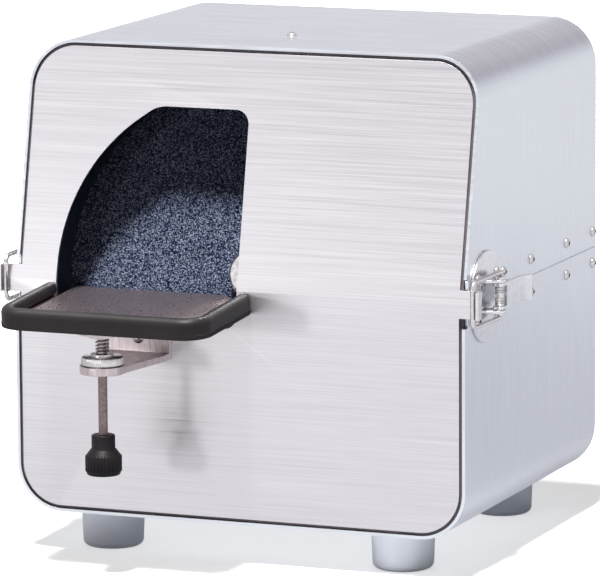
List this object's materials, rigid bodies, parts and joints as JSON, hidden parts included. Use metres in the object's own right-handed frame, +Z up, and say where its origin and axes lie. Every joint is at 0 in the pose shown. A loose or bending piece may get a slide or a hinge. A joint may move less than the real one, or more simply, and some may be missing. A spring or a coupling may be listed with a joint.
{
  "type": "dental model trimmer",
  "caption": "Bench-top wet trimmer that grinds plaster dental models on a large disc, with a tilting work table, toggle-latched front panel and stainless casing on rubber feet.",
  "frame": {"origin": "on the surface it stands on, in the middle of its width and its length", "axes": "+Z up, +X to the right as seen from the front, +Y towards the back, where water and power go in"},
  "size_m": [0.3306, 0.3496, 0.322],
  "materials": {
    "casing_steel": "satin",
    "panel_steel": "horizontal brushing",
    "table_steel": "fine grooves, front to back",
    "plain_steel": "satin",
    "latch_steel": "polished",
    "bright_steel": "polished",
    "foot_rubber": "matte",
    "black_rubber": "matte",
    "knob_plastic": "matte",
    "black_plastic": "matte",
    "abrasive": "speckled grit",
    "cast_aluminium": "cast",
    "brass": "machined",
    "hose_plastic": "smooth",
    "drain_plastic": "smooth"
  },
  "bodies": {
    "casing": {"lower_shell": "casing_steel", "upper_hood": "casing_steel", "seam_strips": "plain_steel", "casing_screws": "bright_steel", "rear_panel": "casing_steel", "foot_front_left": "foot_rubber", "foot_front_right": "foot_rubber", "foot_rear_left": "foot_rubber", "foot_rear_right": "foot_rubber", "foot_screws": "plain_steel", "front_panel": "panel_steel", "front_gasket": "black_rubber", "latch_base_left": "latch_steel", "latch_base_right": "latch_steel", "latch_pin_left": "bright_steel", "latch_pin_right": "bright_steel", "latch_springs_left": "bright_steel", "latch_springs_right": "bright_steel", "latch_screws_left": "bright_steel", "latch_screws_right": "bright_steel", "pivot_rod": "bright_steel", "hinge_brackets": "plain_steel", "table_bracket": "plain_steel", "bracket_screw": "bright_steel", "threaded_bush": "brass", "spring_collar": "bright_steel", "lock_spring": "bright_steel", "bulkhead": "casing_steel", "motor_front_shield": "cast_aluminium", "shaft_seal": "black_rubber", "motor_housing": "cast_aluminium", "stator_core": "plain_steel", "motor_rear_shield": "cast_aluminium", "bearings": "bright_steel", "motor_screws": "bright_steel", "spray_pipe": "bright_steel", "water_hose": "hose_plastic", "water_valve": "brass", "drain_pipe": "drain_plastic", "power_inlet": "black_plastic"},
    "spindle": {"rotor_shaft": "bright_steel", "rotor_core": "plain_steel", "cooling_fan": "black_plastic", "disc_carrier": "cast_aluminium", "abrasive_disc": "abrasive", "clamp_flange": "bright_steel", "centre_screw": "bright_steel"},
    "table": {"table_plate": "table_steel", "table_rim": "black_rubber", "table_socket": "plain_steel"},
    "pad": {"swivel_pad": "brass"},
    "adjusting_screw": {"adjusting_rod": "bright_steel", "adjusting_knob": "knob_plastic"},
    "nut": {"lock_nut": "bright_steel"},
    "lever_right": {"latch_lever_right": "latch_steel"},
    "bail_right": {"latch_bail_right": "bright_steel"},
    "lever_left": {"latch_lever_left": "latch_steel"},
    "bail_left": {"latch_bail_left": "bright_steel"},
    "rocker": {"switch_rocker": "black_plastic"}
  },
  "joints": [
    {"name": "spindle_spin", "type": "hinge", "parent": "casing", "child": "spindle", "pos_m": [0, -0.06525, 0.178], "axis": [0, 0.9781, -0.2079], "continuous": true},
    {"name": "screw_turn", "type": "hinge", "parent": "pad", "child": "adjusting_screw", "pos_m": [-0.065, -0.15425, 0.1], "axis": [0, 0, 1], "range_deg": [-1805, 1805]},
    {"name": "screw_lift", "type": "slide", "parent": "casing", "child": "pad", "axis": [0, 0, 1], "range_m": [-0.005, 0.005], "deforming": ["lock_spring"]},
    {"name": "table_tilt", "type": "hinge", "parent": "casing", "child": "table", "pos_m": [-0.06, -0.08925, 0.1565], "axis": [-1, 0, 0], "range_deg": [-4.5, 4.5]},
    {"name": "lock_nut_turn", "type": "hinge", "parent": "casing", "child": "nut", "pos_m": [-0.065, -0.15425, 0.135], "axis": [0, 0, 1], "range_deg": [0, 90]},
    {"name": "lever_right_swing", "type": "hinge", "parent": "casing", "child": "lever_right", "pos_m": [0.158, -0.05625, 0.172], "axis": [0, 0, -1], "range_deg": [0, 95]},
    {"name": "bail_right_swing", "type": "hinge", "parent": "lever_right", "child": "bail_right", "pos_m": [0.157, -0.05033, 0.172], "axis": [0, 0, -1], "range_deg": [-86, 0]},
    {"name": "lever_left_swing", "type": "hinge", "parent": "casing", "child": "lever_left", "pos_m": [-0.158, -0.05625, 0.172], "axis": [0, 0, 1], "range_deg": [0, 95]},
    {"name": "bail_left_swing", "type": "hinge", "parent": "lever_left", "child": "bail_left", "pos_m": [-0.157, -0.05033, 0.172], "axis": [0, 0, 1], "range_deg": [-86, 0]},
    {"name": "rocker_flip", "type": "hinge", "parent": "casing", "child": "rocker", "pos_m": [0.088, 0.14975, 0.1], "axis": [0, 0, 1], "range_deg": [0, 16]}
  ],
  "couplings": [
    {"joint": "screw_turn", "follows": "screw_lift", "rad_per_m": 6283.2},
    {"joint": "table_tilt", "follows": "screw_lift", "rad_per_m": 15.384},
    {"joint": "bail_right_swing", "follows": "lever_right_swing", "ratio": -0.9},
    {"joint": "bail_left_swing", "follows": "lever_left_swing", "ratio": -0.9}
  ]
}
